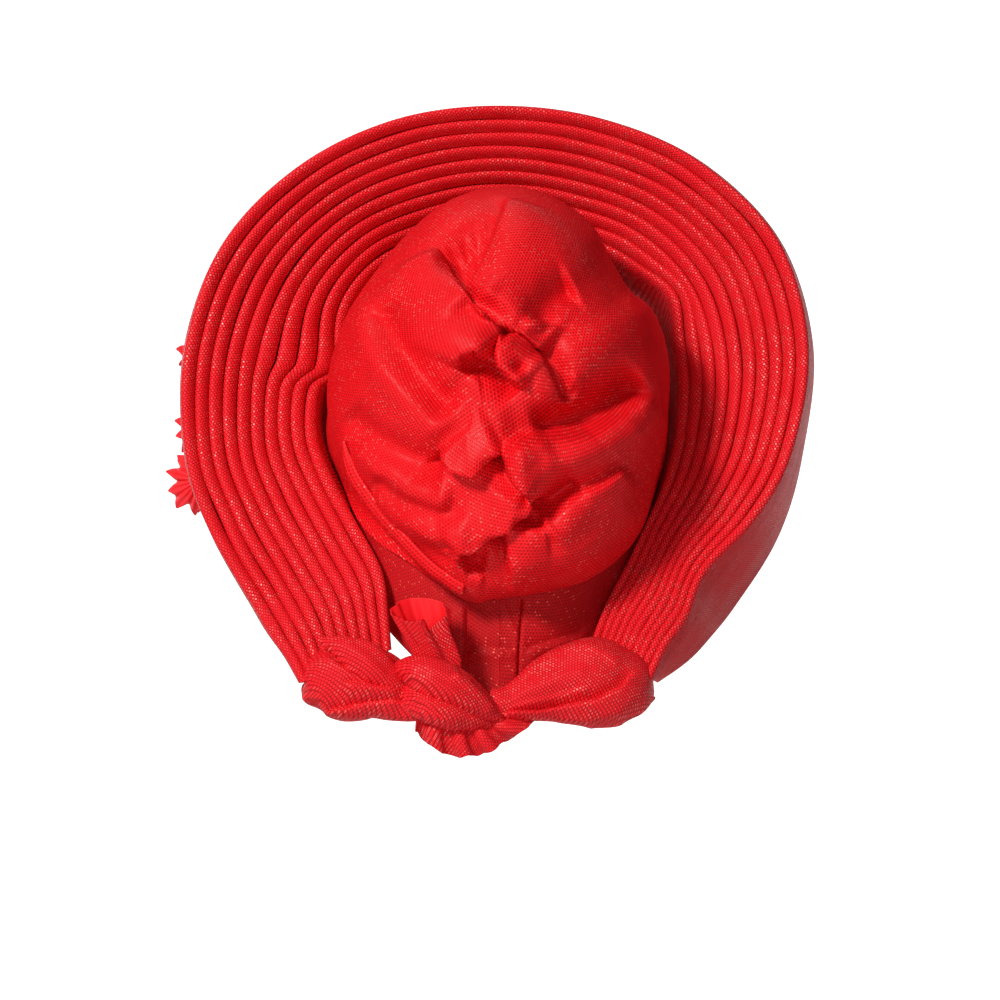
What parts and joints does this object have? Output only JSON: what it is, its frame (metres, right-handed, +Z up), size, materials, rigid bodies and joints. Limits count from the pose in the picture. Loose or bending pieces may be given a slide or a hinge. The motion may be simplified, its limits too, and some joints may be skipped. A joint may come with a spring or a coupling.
{
  "type": "tied gele head tie",
  "caption": "Tied gele head tie: a horseshoe fan of rolled pleats round a ruched back bag, with a nape band, wings, knot, tails and side flowers.",
  "frame": {"origin": "inside the top of the back bag, where the crown of the head bears", "axes": "+Z up as worn, +Y towards the wearer's face, +X to the wearer's right"},
  "size_m": [0.3182, 0.2229, 0.3268],
  "materials": {
    "fan_net": "satin cloth under a woven glitter net",
    "bag_net": "satin cloth under a woven glitter net, ruched",
    "band_net": "matte woven cloth with sparse glitter",
    "satin": "plain satin",
    "petal_satin": "plain smooth satin"
  },
  "bodies": {
    "root": {"pleated_fan": "fan_net", "back_bag": "bag_net", "bag_binding": "satin", "head_band": "band_net", "left_wing": "fan_net", "right_wing": "fan_net", "knot": "fan_net", "upper_tail": "satin", "lower_tail": "fan_net", "flower_upper": "petal_satin", "flower_middle": "petal_satin", "flower_lower": "petal_satin"}
  },
  "joints": []
}
